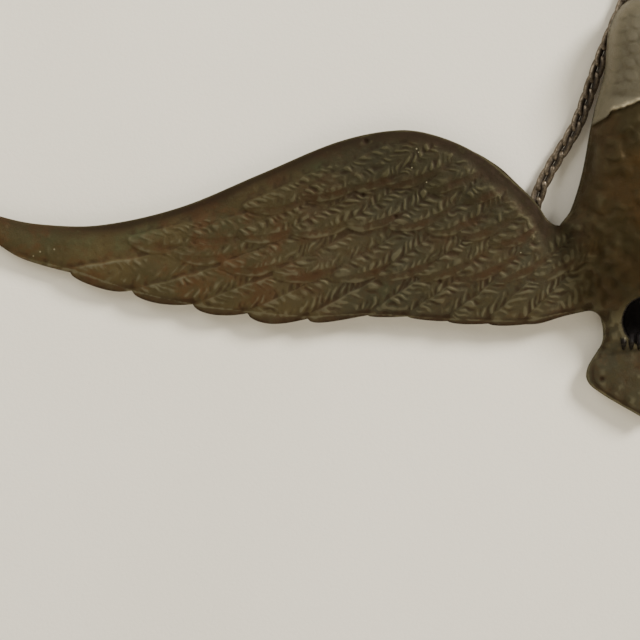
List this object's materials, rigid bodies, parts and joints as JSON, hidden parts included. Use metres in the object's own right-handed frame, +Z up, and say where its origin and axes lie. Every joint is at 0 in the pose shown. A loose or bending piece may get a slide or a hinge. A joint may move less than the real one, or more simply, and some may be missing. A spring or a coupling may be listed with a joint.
{
  "type": "wall eagle plaque",
  "caption": "Hollow-backed cast eagle with spread wings, hung on a wall by a curb chain from behind the wings.",
  "frame": {"origin": "the point on the wall where the nail carries the hanging ring, inside the top of that ring", "axes": "+X along the wings towards the side that the beak points to, +Y into the wall, +Z up"},
  "size_m": [0.63, 0.0337, 0.2207],
  "materials": {
    "casting": "aged olive-brown patina",
    "chain": "dulled, rubbed bright on the links"
  },
  "bodies": {
    "root": {"eagle": "casting", "hanging_ring": "chain", "ring_left": "chain", "ring_right": "chain", "link_left_01": "chain", "link_left_02": "chain", "link_left_03": "chain", "link_left_04": "chain", "link_left_05": "chain", "link_left_06": "chain", "link_left_07": "chain", "link_left_08": "chain", "link_left_09": "chain", "link_left_10": "chain", "link_left_11": "chain", "link_left_12": "chain", "link_left_13": "chain", "link_left_14": "chain", "link_left_15": "chain", "link_left_16": "chain", "link_right_01": "chain", "link_right_02": "chain", "link_right_03": "chain", "link_right_04": "chain", "link_right_05": "chain", "link_right_06": "chain", "link_right_07": "chain", "link_right_08": "chain", "link_right_09": "chain", "link_right_10": "chain", "link_right_11": "chain", "link_right_12": "chain", "link_right_13": "chain", "link_right_14": "chain", "link_right_15": "chain", "link_right_16": "chain"}
  },
  "joints": []
}
